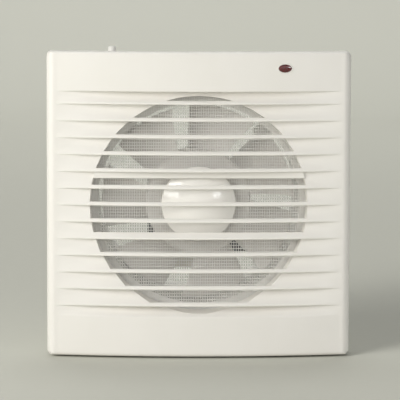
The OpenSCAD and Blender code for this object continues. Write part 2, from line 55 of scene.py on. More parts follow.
# ------------------------------------------------------------------ shape of the cover, mm
HALF_W, HALF_H = 90.0, 90.5
FRONT, BOW, FIELD = 26.0, 7.0, 84.0     # depth at the sides, bow, half width of the louvres
REAR = 14.0                             # depth of the rear edge at the sides
WALL = 2.0
EDGE_R, INNER_EDGE_R = (1.5, 2.2), (0.5, 0.5)   # rounding of the upper and the lower edge
FIELD_TOP, FIELD_BOTTOM = 67.2, -67.6
LIP_PITCH, MIDDLE_LIP, INNER_LIPS = 10.0, -0.4, 13
LIPS = ([FIELD_TOP] + [MIDDLE_LIP + (INNER_LIPS // 2 - i) * LIP_PITCH for i in range(INNER_LIPS)]
        + [FIELD_BOTTOM])
SHELF, RECESS = 1.3, 0.04               # height of a lip's nose; share of the bow at a board's top
BEND, HOLLOW = 0.6, 1.7                 # half height of the bend above the nose; power of the slope
LIP_R, FULL_STEP = 0.5, 1.3             # rounding of a lip, whole where the step is this deep
HOLE_FRONT_R, HOLE_REAR_R, NET_Y = 64.8, 63.6, 20.2   # the opening, and the depth of the net
SLAT_H, SLAT_D = 2.3, 2.3               # height and depth of the slats across the opening
WIDE_SLAT, WIDE_SLAT_H, WIDE_SLAT_D = 9, 4.0, 4.4   # the one slat that helps to carry the cap
CAP_RIB = 5                             # the lip that has the flat rib under it
AHEAD = 45.0                            # depth in front of the whole cover
LENS, LENS_RX, LENS_RZ = (50.5, 81.0), 4.0, 2.4     # middle and half axes of the lamp's window

# ------------------------------------------------------------------ button and spring, mm
BUTTON_X, BUTTON_Y, BUTTON_LOW, BUTTON_TOP = -51.4, -12.0, 68.0, 92.8

# ------------------------------------------------------------------ impeller, mm
HUB_R, TIP_R, BLADES = 31.5, 57.5, 7


def bow(x):
    """How far the front stands out at x beyond its depth at the sides."""
    return BOW * max(0.0, 1 - (x / FIELD) ** 2)


# ------------------------------------------------------------------ mesh helpers
def new_object(name, mesh, material, smooth):
    """An object in the scene, with smooth faces that stay sharp past an angle in degrees."""
    o = bpy.data.objects.new(name, mesh)
    bpy.context.scene.collection.objects.link(o)
    mesh.materials.clear()
    mesh.materials.append(material)
    mesh.polygons.foreach_set("use_smooth", [True] * len(mesh.polygons))
    mesh.set_sharp_from_angle(angle=math.radians(smooth))
    return o


def mesh_from(name, verts, faces, merge=None):
    """A mesh from points in millimetres; points closer than merge become one."""
    me = bpy.data.meshes.new(name)
    me.from_pydata([(v[0] * MM, v[1] * MM, v[2] * MM) for v in verts], [], faces)
    bm = bmesh.new()
    bm.from_mesh(me)
    if merge:
        bmesh.ops.remove_doubles(bm, verts=bm.verts, dist=merge * MM)
    bmesh.ops.recalc_face_normals(bm, faces=bm.faces)
    bm.to_mesh(me)
    bm.free()
    return me


def combined(a, b, operation):
    """Boolean of two meshes with the exact-manifold solver."""
    oa, ob = bpy.data.objects.new("a", a), bpy.data.objects.new("b", b)
    for o in (oa, ob):
        bpy.context.scene.collection.objects.link(o)
    m = oa.modifiers.new("b", "BOOLEAN")
    m.operation, m.solver, m.object = operation, "MANIFOLD", ob
    dg = bpy.context.evaluated_depsgraph_get()
    dg.update()
    out = bpy.data.meshes.new_from_object(oa.evaluated_get(dg))
    for o in (oa, ob):
        bpy.data.objects.remove(o)
    return out


def joined(name, parts):
    """One mesh out of several."""
    bm = bmesh.new()
    for p in parts:
        bm.from_mesh(p)
    me = bpy.data.meshes.new(name)
    bm.to_mesh(me)
    bm.free()
    return me


def tube_faces(rings, n):
    """The two ends and the sides of a tube made of rings of n points each."""
    ends = [tuple(range(n)), tuple((rings - 1) * n + i for i in reversed(range(n)))]
    return ends + [(j * n + i, j * n + (i + 1) % n, (j + 1) * n + (i + 1) % n, (j + 1) * n + i)
                   for j in range(rings - 1) for i in range(n)]


def ellipse(rx, rz, y, steps, x=0.0, z=0.0):
    """Points round an ellipse in the plane at y."""
    turns = [2 * math.pi * k / steps for k in range(steps)]
    return [(x + rx * math.cos(a), y, z + rz * math.sin(a)) for a in turns]


def lathe(name, profile, steps, closed=True):
    """A profile of (radius, y) turned about Y, in millimetres; it may be open at the axis."""
    verts, faces = [], []
    n = len(profile)
    for k in range(steps):
        a = 2 * math.pi * k / steps
        verts += [(r * math.cos(a), y, r * math.sin(a)) for r, y in profile]
    for k in range(steps):
        k2 = (k + 1) % steps
        for i in range(n if closed else n - 1):
            j = (i + 1) % n
            faces.append((k * n + i, k2 * n + i, k2 * n + j, k * n + j))
    return mesh_from(name, verts, faces, merge=0.001)


def rod(name, r, y0, y1, steps=96, x=0.0, z=0.0, r1=None):
    """A closed cylinder or cone along Y."""
    r1 = r if r1 is None else r1
    verts = ellipse(r, r, y0, steps, x, z) + ellipse(r1, r1, y1, steps, x, z)
    return mesh_from(name, verts, tube_faces(2, steps))


def arc(cx, cy, r, a0, a1, steps):
    """Points on a circle between two angles in degrees."""
    return [(cx + r * math.cos(math.radians(a0 + (a1 - a0) * i / steps)),
             cy + r * math.sin(math.radians(a0 + (a1 - a0) * i / steps)))
            for i in range(steps + 1)]


def bars(name, sections):
    """Closed bars swept across the opening. A section is a function of x that gives (y, z) points."""
    half = HOLE_REAR_R + 6.4
    xs = np.linspace(-half, half, 71)
    parts = []
    for section in sections:
        rings = [[(x, y, z) for y, z in section(x)] for x in xs]
        verts = [p for ring in rings for p in ring]
        parts.append(mesh_from(name, verts, tube_faces(len(xs), len(rings[0]))))
    return joined(name, parts)


# ------------------------------------------------------------------ cover
def board_share(t, h):
    """Share of the bow at a height t above a board's own lip; the board is h high."""
    d = t - SHELF
    rise = d if d > BEND else 0.0 if d < -BEND else (d + BEND) ** 2 / (4 * BEND)
    return RECESS + (1 - RECESS) * (1 - rise / (h - SHELF)) ** HOLLOW


def outer_rows():
    """Rows of the front face between the edges' roundings: functions of x giving (z, depth)."""
    full = lambda x: FRONT + bow(x)
    low = lambda x: FRONT + RECESS * bow(x)
    top, bottom = HALF_H - EDGE_R[0], -HALF_H + EDGE_R[1]
    rows = [lambda x, z=z: (z, full(x)) for z in np.linspace(top, LIPS[0] + 1.2, 11)]

    def lip(level):
        """The rounded nose of a board at this height and the step back under it."""
        def turn(phi):
            def row(x):
                r = LIP_R * min(1.0, (full(x) - low(x)) / FULL_STEP)
                return level + r * (1 - math.sin(phi)), full(x) - r * (1 - math.cos(phi))
            return row
        for phi in (0, 22.5, 45, 67.5, 90):
            rows.append(turn(math.radians(phi)))
        rows.append(lambda x: (level, low(x)))

    lip(LIPS[0])
    for i in range(1, len(LIPS)):
        h = LIPS[i - 1] - LIPS[i]
        last = i == len(LIPS) - 1
        slope = list(np.linspace(h, SHELF + BEND, 10)[1:])
        bend = [SHELF + BEND / 2, SHELF, SHELF - BEND / 2, SHELF - BEND]
        for t in slope + bend:
            s = board_share(t, h)
            rows.append(lambda x, z=LIPS[i] + t, s=s: (z, FRONT + s * bow(x)))
        if not last:
            lip(LIPS[i])
    rows += [lambda x, z=z: (z, full(x)) for z in np.linspace(LIPS[-1], bottom, 9)]
    return rows


def inner_rows():
    """Rows of the cover's inner face, one wall behind the front face."""
    full = lambda x: FRONT - WALL + bow(x)
    low = lambda x: FRONT - WALL + RECESS * bow(x)
    top, bottom = HALF_H - WALL - INNER_EDGE_R[0], -HALF_H + WALL + INNER_EDGE_R[1]
    rows = [lambda x, z=z: (z, full(x)) for z in np.linspace(top, LIPS[0] + SHELF, 6)]
    rows += [lambda x, z=LIPS[0] + SHELF: (z, low(x)), lambda x, z=LIPS[0]: (z, low(x))]
    for i in range(1, len(LIPS)):
        h = LIPS[i - 1] - LIPS[i]
        last = i == len(LIPS) - 1
        for t in np.linspace(h, 0.0 if last else SHELF, 9)[1:]:
            s = board_share(t, h)
            rows.append(lambda x, z=LIPS[i] + t, s=s: (z, FRONT - WALL + s * bow(x)))
        if not last:
            rows += [lambda x, z=LIPS[i] + SHELF: (z, low(x)), lambda x, z=LIPS[i]: (z, low(x))]
    rows += [lambda x, z=z: (z, full(x)) for z in np.linspace(LIPS[-1] - 1.5, bottom, 5)]
    return rows


def field_solid(name, rows, half_w, half_h, side_r, edge_r, corner_r, back):
    """A closed solid between a face made of rows and a back at depth back(x)."""
    side_steps, edge_steps = 8, 5
    c = half_w - side_r
    turn = [math.radians(90 - 90 * k / side_steps) for k in range(side_steps + 1)]
    cols = [(-(c + side_r * math.sin(p)), side_r * (1 - math.cos(p))) for p in turn]
    cols += [(x, 0.0) for x in np.linspace(-FIELD, FIELD, 113)]
    cols += [(-x, d) for x, d in reversed(cols[:side_steps + 1])]
    edge = [math.radians(90 - 90 * k / edge_steps) for k in range(edge_steps)]
    upper, lower = edge_r
    top = [lambda x, p=p: (half_h - upper + upper * math.sin(p),
                           rows[0](x)[1] - upper * (1 - math.cos(p))) for p in edge]
    bottom = [lambda x, p=p: (-half_h + lower - lower * math.sin(p),
                              rows[-1](x)[1] - lower * (1 - math.cos(p))) for p in reversed(edge)]
    every = top + rows + bottom
    m, n = len(every), len(cols)

    def placed(x, z):
        """Draws a point of a square corner in to the rounded corner."""
        qx, qz = abs(x) - (half_w - corner_r), abs(z) - (half_h - corner_r)
        if qx > 0 and qz > 0:
            k = max(qx, qz) / math.hypot(qx, qz)
            x = math.copysign(half_w - corner_r + qx * k, x)
            z = math.copysign(half_h - corner_r + qz * k, z)
        return x, z

    verts = []
    for row in every:
        for x, drop in cols:
            z, d = row(max(-c, min(c, x)))
            px, pz = placed(x, z)
            verts.append((px, -(d - drop), pz))
    faces = [(j * n + i, j * n + i + 1, (j + 1) * n + i + 1, (j + 1) * n + i)
             for j in range(m - 1) for i in range(n - 1)]
    ring = ([(0, i) for i in range(n)] + [(j, n - 1) for j in range(1, m)]
            + [(m - 1, i) for i in range(n - 2, -1, -1)] + [(j, 0) for j in range(m - 2, 0, -1)])
    rear = {}
    for j, i in ring:
        x, _, z = verts[j * n + i]
        rear[(j, i)] = len(verts)
        verts.append((x, -back(x), z))
    for k in range(len(ring)):
        a, b = ring[k], ring[(k + 1) % len(ring)]
        faces.append((a[0] * n + a[1], b[0] * n + b[1], rear[b], rear[a]))
    for i in range(1, n - 2):
        faces.append((rear[(0, i)], rear[(0, i + 1)], rear[(m - 1, i + 1)], rear[(m - 1, i)]))
    faces.append([rear[(0, 1)], rear[(m - 1, 1)]] + [rear[(j, 0)] for j in range(m - 1, -1, -1)])
    faces.append([rear[(0, n - 2)], rear[(m - 1, n - 2)]]
                 + [rear[(j, n - 1)] for j in range(m - 1, -1, -1)])
    return mesh_from(name, verts, faces, merge=0.0012)


def slat_section(i):
    """The part of a louvre board that goes on across the opening."""
    wide = i == WIDE_SLAT
    low, high = LIPS[i] + 0.02, LIPS[i] + (WIDE_SLAT_H if wide else SLAT_H)
    back = FRONT - (WIDE_SLAT_D if wide else SLAT_D)
    return lambda x: [(-AHEAD, low), (-(back + bow(x)), low), (-(back + bow(x)), high), (-AHEAD, high)]


def opening_cone(spare=0.0):
    """The tapered opening as a solid, from just behind the net's plane to in front of the cover."""
    slope = (HOLE_FRONT_R - HOLE_REAR_R) / (FRONT - NET_Y)
    front = 40.0
    front_r = HOLE_REAR_R + slope * (front - NET_Y) * 0.55
    return rod("cone", front_r + spare, -front, -NET_Y + 1, 224, r1=HOLE_REAR_R + spare)


def cover_shell():
    """The cover: a bowed louvred front, side walls, and an opening crossed by the slats."""
    outer = field_solid("outer", outer_rows(), HALF_W, HALF_H, side_r=5.0, edge_r=EDGE_R,
                        corner_r=3.0, back=lambda x: REAR + bow(x))
    inner = field_solid("inner", inner_rows(), HALF_W - WALL, HALF_H - WALL, side_r=3.0,
                        edge_r=INNER_EDGE_R, corner_r=1.5, back=lambda x: 5.0)
    inner = combined(inner, rod("ring", HOLE_FRONT_R + WALL, -AHEAD, 0, 192), "DIFFERENCE")
    shell = combined(outer, inner, "DIFFERENCE")
    shell = combined(shell, rod("back", HOLE_FRONT_R + WALL + 0.5, -NET_Y, 0, 160), "DIFFERENCE")
    slats = bars("bars", [slat_section(i) for i in range(1, INNER_LIPS + 1)])
    shell = combined(shell, combined(opening_cone(), slats, "DIFFERENCE"), "DIFFERENCE")
    rim = ellipse(LENS_RX, LENS_RZ, -40, 72, *LENS) + ellipse(LENS_RX, LENS_RZ, -20, 72, *LENS)
    return combined(shell, mesh_from("window", rim, tube_faces(2, 72)), "DIFFERENCE")


def recessed_rib():
    """The flat rib just under a lip, which carries the cap."""
    top, low, nose = LIPS[CAP_RIB] + 0.35, LIPS[CAP_RIB] - 3.9, 0.4

    def section(x):
        f, b = FRONT + 1.2 + 0.2 * bow(x), FRONT - 0.4 + 0.2 * bow(x)
        return ([(-b, low + 0.2), (-b, top), (-f, top)]
                + [(-f + nose * (1 - math.cos(p)), low + nose * (1 - math.sin(p)))
                   for p in np.linspace(0, math.pi / 2, 5)])
    return combined(bars("rib", [section]), opening_cone(0.05), "INTERSECT")


# ------------------------------------------------------------------ materials
class Nodes:
    """Short ways to build a material's nodes. Textures run in the object's own space, in metres."""

    def __init__(self, name):
        self.mat = bpy.data.materials.new(name)
        self.mat.use_nodes = True
        self.tree = self.mat.node_tree
        self.tree.nodes.clear()
        self.out = self.tree.nodes.new("ShaderNodeOutputMaterial")
        self.bsdf = self.tree.nodes.new("ShaderNodeBsdfPrincipled")
        self.tree.links.new(self.bsdf.outputs[0], self.out.inputs[0])
        self.coord = self.tree.nodes.new("ShaderNodeTexCoord").outputs["Object"]

    def link(self, a, b):
        self.tree.links.new(a, b)

    def node(self, kind, **settings):
        n = self.tree.nodes.new(kind)
        for k, v in settings.items():
            setattr(n, k, v)
        return n

    def stretched(self, sx, sy, sz):
        m = self.node("ShaderNodeMapping")
        m.inputs["Scale"].default_value = (sx, sy, sz)
        self.link(self.coord, m.inputs[0])
        return m.outputs[0]

    def noise(self, scale, detail=3.0, rough=0.5, vector=None, distort=0.0):
        n = self.node("ShaderNodeTexNoise")
        n.inputs["Scale"].default_value = scale
        n.inputs["Detail"].default_value = detail
        n.inputs["Roughness"].default_value = rough
        n.inputs["Distortion"].default_value = distort
        self.link(self.coord if vector is None else vector, n.inputs["Vector"])
        return n.outputs["Fac"]

    def cells(self, scale):
        n = self.node("ShaderNodeTexVoronoi")
        n.inputs["Scale"].default_value = scale
        self.link(self.coord, n.inputs["Vector"])
        return n.outputs["Distance"]

    def wave(self, scale, direction, distortion=0.0):
        n = self.node("ShaderNodeTexWave", bands_direction=direction)
        n.inputs["Scale"].default_value = scale
        n.inputs["Distortion"].default_value = distortion
        self.link(self.coord, n.inputs["Vector"])
        return n.outputs["Fac"]

    def spread(self, value, a0, a1, b0, b1):
        """A value's range from a0 to a1 brought to the range from b0 to b1."""
        n = self.node("ShaderNodeMapRange")
        for k, v in zip(("From Min", "From Max", "To Min", "To Max"), (a0, a1, b0, b1)):
            n.inputs[k].default_value = v
        self.link(value, n.inputs["Value"])
        return n.outputs[0]

    def mix(self, fac, a, b):
        n = self.node("ShaderNodeMix", data_type="RGBA")
        self.link(fac, n.inputs[0])
        for socket, c in ((n.inputs[6], a), (n.inputs[7], b)):
            if isinstance(c, tuple):
                socket.default_value = (*c, 1.0)
            else:
                self.link(c, socket)
        return n.outputs[2]

    def maths(self, operation, a, b):
        n = self.node("ShaderNodeMath", operation=operation)
        for socket, c in zip(n.inputs, (a, b)):
            if isinstance(c, (int, float)):
                socket.default_value = c
            else:
                self.link(c, socket)
        return n.outputs[0]

    def bump(self, *layers):
        """Bump from (height, strength, depth in mm) layers."""
        normal = None
        for height, strength, depth in layers:
            n = self.node("ShaderNodeBump")
            n.inputs["Strength"].default_value = strength
            n.inputs["Distance"].default_value = depth * MM
            self.link(height, n.inputs["Height"])
            if normal is not None:
                self.link(normal, n.inputs["Normal"])
            normal = n.outputs[0]
        self.link(normal, self.bsdf.inputs["Normal"])

    def set(self, **values):
        """Sets or links the shader's inputs, named with underscores for spaces."""
        for k, v in values.items():
            s = self.bsdf.inputs[k.replace("_", " ")]
            if isinstance(v, (int, float)):
                s.default_value = v
            elif isinstance(v, tuple):
                s.default_value = (*v, 1.0)
            else:
                self.link(v, s)


def plastic(name, light, dark, rough=(0.3, 0.4), grain=0.012, grain_scale=1400, ripple=0.02, dust=0.0):
    """Moulded plastic: flow marks in its colour and gloss, a fine skin and a slow ripple."""
    m = Nodes(name)
    flow = m.noise(38, 4, 0.55, m.stretched(1, 1, 0.5), 0.4)
    colour = m.mix(m.spread(flow, 0.35, 0.65, 0, 1), light, dark)
    fine = m.noise(grain_scale, 2, 0.6)
    if dust:
        specks = m.spread(m.noise(2600, 1, 0.5), 0.70, 0.78, 0, dust)
        colour = m.mix(specks, colour, tuple(c * 0.6 for c in dark))
    smudge = m.noise(90, 5, 0.6)
    m.set(Base_Color=colour, Roughness=m.spread(smudge, 0.3, 0.7, *rough))
    m.bump((m.noise(55, 2, 0.4), 0.5, ripple), (fine, 0.6, grain))
    return m.mat


def metal(name, light, dark, rough=(0.22, 0.38), streak=(1, 1, 1), scale=900, depth=0.01):
    """Metal with machining or rolling streaks and slight dulling."""
    m = Nodes(name)
    lines = m.noise(scale, 3, 0.6, m.stretched(*streak))
    dull = m.noise(120, 4, 0.6)
    m.set(Base_Color=m.mix(dull, light, dark), Metallic=1.0,
          Roughness=m.spread(m.maths("MULTIPLY", lines, dull), 0.1, 0.4, *rough))
    m.bump((lines, 0.5, depth))
    return m.mat


def laminated(name):
    """Stacked steel sheets, with some rust."""
    m = Nodes(name)
    sheets = m.wave(314.0, "Y")
    rust = m.noise(160, 5, 0.65)
    m.set(Base_Color=m.mix(m.spread(rust, 0.5, 0.72, 0, 1), (0.20, 0.205, 0.215), (0.15, 0.10, 0.07)),
          Metallic=0.85, Roughness=m.spread(sheets, 0, 1, 0.55, 0.32))
    m.bump((sheets, 0.8, 0.05), (rust, 0.4, 0.02))
    return m.mat


def wound(name, light, dark, turns):
    """Turns of wire under a thin tape."""
    m = Nodes(name)
    wires = m.wave(turns, "X", distortion=0.6)
    m.set(Base_Color=m.mix(wires, dark, light), Roughness=0.32, Coat_Weight=0.5,
          Coat_Roughness=m.spread(m.noise(200, 3), 0.3, 0.7, 0.08, 0.3))
    m.bump((wires, 1.0, 0.08))
    return m.mat


def clear_red(name):
    """The lamp's lens: dark red with small prisms inside, and a faint painted red glow of its own, though
    the lamp behind it gives no light.
    """
    m = Nodes(name)
    prisms = m.cells(1500)
    edge = m.spread(prisms, 0.0, 0.5, 0, 1)
    m.set(Base_Color=m.mix(edge, (0.20, 0.006, 0.006), (0.055, 0.001, 0.002)),
          Roughness=m.spread(m.noise(700, 2), 0.3, 0.7, 0.07, 0.16), Coat_Weight=1.0,
          # the emission is a painted red glow; the lamp behind the lens is not lit
          Coat_Roughness=0.04, Subsurface_Weight=0.15, Emission_Color=(0.35, 0.0, 0.0),
          Emission_Strength=0.05)
    m.bump((prisms, 0.35, 0.06))
    return m.mat


def board_face(name):
    """A lacquered circuit board with its traces."""
    m = Nodes(name)
    traces = m.spread(m.wave(420, "X", distortion=5.0), 0.62, 0.66, 0, 1)
    m.set(Base_Color=m.mix(traces, (0.10, 0.24, 0.10), (0.16, 0.34, 0.14)),
          Roughness=m.spread(m.noise(500, 3), 0.3, 0.7, 0.3, 0.5))
    m.bump((traces, 0.6, 0.03), (m.noise(3000, 2), 0.3, 0.01))
    return m.mat


def banded(name):
    """A resistor's body with its colour bands."""
    m = Nodes(name)
    bands = m.spread(m.wave(700, "X"), 0.72, 0.78, 0, 1)
    m.set(Base_Color=m.mix(bands, (0.62, 0.50, 0.34), (0.25, 0.12, 0.06)),
          Roughness=m.spread(m.noise(600, 3), 0.3, 0.7, 0.3, 0.45))
    m.bump((m.noise(1800, 2), 0.4, 0.02))
    return m.mat


def insulated(name, colour, dark):
    """A smooth soft plastic or resin."""
    m = Nodes(name)
    m.set(Base_Color=m.mix(m.noise(220, 4), colour, dark),
          Roughness=m.spread(m.noise(400, 3), 0.3, 0.7, 0.32, 0.5))
    m.bump((m.noise(1500, 3), 0.4, 0.02))
    return m.mat


LOOKS = {
    "cover": plastic("abs_cover", (0.86, 0.835, 0.79), (0.845, 0.82, 0.77), (0.30, 0.38), 0.008,
                     2200, 0.03, dust=0.05),
    "cap": plastic("abs_cap", (0.87, 0.85, 0.81), (0.855, 0.835, 0.79), (0.10, 0.16), 0.003, 900, 0.02),
    "housing": plastic("abs_housing", (0.86, 0.845, 0.81), (0.83, 0.815, 0.78), (0.42, 0.55), 0.02,
                       1500, 0.03, dust=0.08),
    "bracket": plastic("pbt_bracket", (0.84, 0.83, 0.79), (0.80, 0.79, 0.75), (0.45, 0.6), 0.02),
    "impeller": plastic("pp_impeller", (0.80, 0.77, 0.735), (0.77, 0.74, 0.705), (0.36, 0.48), 0.012),
    "net": plastic("nylon_net", (0.88, 0.87, 0.84), (0.84, 0.83, 0.80), (0.35, 0.5), 0.01, 4000),
    "lens": clear_red("red_lens"),
    "button": plastic("abs_button", (0.80, 0.785, 0.745), (0.78, 0.765, 0.72), (0.28, 0.36), 0.006),
    "screws": metal("zinc_screw", (0.66, 0.66, 0.67), (0.5, 0.5, 0.52), (0.2, 0.36), (1, 0.2, 1)),
    "laminations": laminated("steel_sheets"),
    "zinc": metal("zinc_plate", (0.62, 0.63, 0.65), (0.50, 0.51, 0.53), (0.28, 0.45), (0.15, 1, 1), 500),
    "spring_steel": metal("spring_wire", (0.55, 0.55, 0.56), (0.42, 0.42, 0.44), (0.18, 0.3)),
    "shaft": metal("ground_shaft", (0.68, 0.68, 0.70), (0.58, 0.58, 0.60), (0.12, 0.22), (1, 6, 1)),
    "rotor": metal("rotor_steel", (0.42, 0.42, 0.44), (0.30, 0.30, 0.32), (0.3, 0.5), (1, 8, 1)),
    "bronze": metal("sintered_bronze", (0.60, 0.42, 0.25), (0.46, 0.31, 0.18), (0.35, 0.5), scale=2500),
    "brass": metal("brass", (0.74, 0.57, 0.28), (0.60, 0.45, 0.22), (0.2, 0.36), (0.3, 1, 1)),
    "copper": metal("copper_ring", (0.72, 0.40, 0.26), (0.50, 0.26, 0.17), (0.25, 0.45), (1, 0.2, 1)),
    "bobbin": plastic("pa_bobbin", (0.74, 0.72, 0.66), (0.70, 0.67, 0.60), (0.4, 0.55), 0.015),
    "winding": wound("taped_winding", (0.80, 0.77, 0.68), (0.72, 0.69, 0.60), 260.0),
    "terminal_body": plastic("pa_terminal", (0.60, 0.61, 0.58), (0.55, 0.56, 0.53), (0.4, 0.55), 0.015),
    "rubber": plastic("rubber", (0.035, 0.035, 0.036), (0.02, 0.02, 0.021), (0.6, 0.8), 0.03, 1800),
    "board": board_face("lamp_board"),
    "lamp": insulated("lamp_epoxy", (0.42, 0.02, 0.02), (0.30, 0.01, 0.01)),
    "resistor": banded("resistor_body"),
    "lead": insulated("lead_pvc", (0.74, 0.74, 0.72), (0.66, 0.66, 0.64)),
    "washer": plastic("fibre_washer", (0.12, 0.11, 0.10), (0.08, 0.07, 0.065), (0.5, 0.7), 0.02),
}
LEADS = {
    "switch_leads": insulated("lead_brown", (0.20, 0.09, 0.05), (0.13, 0.06, 0.03)),
    "led_leads": insulated("lead_red", (0.42, 0.04, 0.03), (0.30, 0.03, 0.02)),
}


def piece(name, mesh, body, slot, replaces=(), smooth=35):
    """A new piece that rides on a body, wears a slot's material and stands for some CAD nodes."""
    o = new_object(name, mesh, LOOKS[slot], smooth)
    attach(o, body)
    if replaces:
        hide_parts(*replaces)
    return o


# ------------------------------------------------------------------ pieces of the cover
cover = piece("cover_shell", cover_shell(), "cover", "cover", ["front_cover", "cover_rim"], smooth=32)
normals = cover.modifiers.new("normals", "WEIGHTED_NORMAL")
normals.keep_sharp = True
piece("cover_rib", recessed_rib(), "cover", "cover", smooth=32)


def grip_ribs():
    """Small round-ended ribs inside the top and bottom walls, which hold the cover on."""
    rib_r, half = 1.2, 2.7
    profile = [(0.0, -half - rib_r)] + arc(0, -half, rib_r, -90, 0, 5) + arc(0, half, rib_r, 0, 90, 5)
    parts = []
    for side in (-1, 1):
        for x in (-60, -20, 20, 60):
            me = lathe("grip", [(max(r, 0.0), y) for r, y in profile], 20, closed=False)
            place = Vector((x, -(REAR + bow(x) + 2.5), side * (HALF_H - WALL - 0.3))) * MM
            me.transform(Matrix.Translation(place) @ Matrix.Rotation(math.pi / 2, 4, "Z"))
            parts.append(me)
    return joined("grip_ribs", parts)


piece("cover_grips", grip_ribs(), "cover", "cover")


def lens_pose():
    """Places a piece drawn round the origin, facing -Y, at the lamp's window."""
    x, z = LENS
    tilt = math.atan(2 * BOW * x / FIELD ** 2)
    return Matrix.Translation((x * MM, -(FRONT + bow(x)) * MM, z * MM)) @ Matrix.Rotation(tilt, 4, "Z")


def lens_mesh():
    """The lamp's lens: an oval plug with a domed front."""
    gap, n = 0.04, 64
    rings = [(1.0, 2.2), (1.0, 0.15)] + [(math.cos(a), -0.05 - 0.5 * math.sin(a))
                                         for a in np.linspace(0.12, math.pi / 2 - 0.02, 9)]
    verts = []
    for k, y in rings:
        verts += ellipse((LENS_RX - gap) * k, (LENS_RZ - gap) * k, y, n)
    me = mesh_from("lens", verts, tube_faces(len(rings), n))
    me.transform(lens_pose())
    return me


def bezel_mesh():
    """The raised edge round the lens."""
    n, k, edge_w, edge_h = 72, 12, 0.42, 0.4
    verts = []
    for i in range(n):
        a = 2 * math.pi * i / n
        for j in range(k):
            b = 2 * math.pi * j / k
            out = 0.3 + edge_w * math.cos(b)
            verts.append(((LENS_RX + out) * math.cos(a), 0.12 - edge_h * math.sin(b),
                          (LENS_RZ + out) * math.sin(a)))
    faces = [(i * k + j, i * k + (j + 1) % k, ((i + 1) % n) * k + (j + 1) % k, ((i + 1) % n) * k + j)
             for i in range(n) for j in range(k)]
    me = mesh_from("bezel", verts, faces)
    me.transform(lens_pose())
    return me


piece("lamp_lens", lens_mesh(), "cover", "lens", ["led_lens"], smooth=40)
piece("lamp_bezel", bezel_mesh(), "cover", "cover")


def net_mesh():
    """Woven threads, each an undulating four-sided strand cut to the round frame."""
    px, pz, r, reach = 1.41, 1.81, 0.2, HOLE_REAR_R + 2.6
    middle, sway = -NET_Y + 0.2, 0.13
    verts, faces = [], []

    def strand(points, side):
        first = len(verts)
        for x, y, z in points:
            for u, w in ((r, 0), (0, r), (-r, 0), (0, -r)):
                verts.append((x + u * side[0], y + w, z + u * side[1]))
        for k in range(len(points) - 1):
            for i in range(4):
                a, b = first + 4 * k + i, first + 4 * k + (i + 1) % 4
                faces.append((a, b, b + 4, a + 4))
        faces.append(tuple(first + i for i in range(4)))
        faces.append(tuple(first + 4 * (len(points) - 1) + i for i in reversed(range(4))))

    nx, nz = int(reach / px), int(reach / pz)
    for i in range(-nx, nx + 1):
        half = math.sqrt(reach ** 2 - (i * px) ** 2)
        k0 = int(half / pz)
        if k0 < 1:
            continue
        strand([(i * px, middle - sway * (-1) ** (i + k), k * pz) for k in range(-k0, k0 + 1)], (1, 0))
    for k in range(-nz, nz + 1):
        half = math.sqrt(reach ** 2 - (k * pz) ** 2)
        i0 = int(half / px)
        if i0 < 1:
            continue
        strand([(i * px, middle + sway * (-1) ** (i + k), k * pz) for i in range(-i0, i0 + 1)], (0, 1))
    return mesh_from("net", verts, faces)


piece("net_threads", net_mesh(), "cover", "net", ["insect_net"], smooth=60)


def cap_mesh():
    """The domed cap and the posts that join it to the flat rib and the wide slat."""
    r, shoulder, dome, apex = 22.2, 2.0, 40.0, 29.0
    inner = r - shoulder
    tip = math.degrees(math.asin(inner / dome))
    edge = apex - (dome - math.sqrt(dome ** 2 - inner ** 2))
    profile = [(0.0, -NET_Y), (r - 0.3, -NET_Y), (r, -NET_Y - 0.3)]
    profile += [(x, -y) for x, y in arc(inner, edge - shoulder, shoulder, 0, 90 - tip, 10)]
    profile += [(x, -y) for x, y in arc(0, apex - dome, dome, 90 - tip, 90, 28)][1:]
    profile[-1] = (0.0, -apex)
    parts = [lathe("dome", profile, 160, closed=False)]
    post_r, rear = 1.5, -(edge - 1)
    for x in (-9, 9):
        rib_end, slat_end = -(FRONT - 0.5 + 0.2 * bow(x)), -(FRONT - SLAT_D - 0.2 + 0.8 * bow(x))
        parts.append(rod("post", post_r, rib_end, rear, 32, x, LIPS[CAP_RIB] - 2))
        parts.append(rod("post", post_r, slat_end, rear, 32, x, LIPS[WIDE_SLAT] + 2))
    return joined("cap", parts)


piece("round_cap", cap_mesh(), "cover", "cap", ["net_cap"], smooth=40)


# ------------------------------------------------------------------ button
def button_mesh():
    """The button: a rod with a rounded top and a collar that stops it under the top wall."""
    r, collar_r, collar, tip = 2.3, 3.6, (81.6, 84.6), 0.9
    profile = [(0.0, BUTTON_LOW), (r, BUTTON_LOW), (r, collar[0]), (collar_r, collar[0]),
               (collar_r, collar[1]), (r, collar[1])]
    profile += arc(r - tip, BUTTON_TOP - tip, tip, 0, 90, 8) + [(0.0, BUTTON_TOP)]
    me = lathe("button", profile, 48, closed=False)
    place = Vector((BUTTON_X, BUTTON_Y, 0)) * MM
    me.transform(Matrix.Translation(place) @ Matrix.Rotation(math.pi / 2, 4, "X"))
    return me


piece("push_button", button_mesh(), "switch_button", "button", ["switch_plunger"], smooth=40)


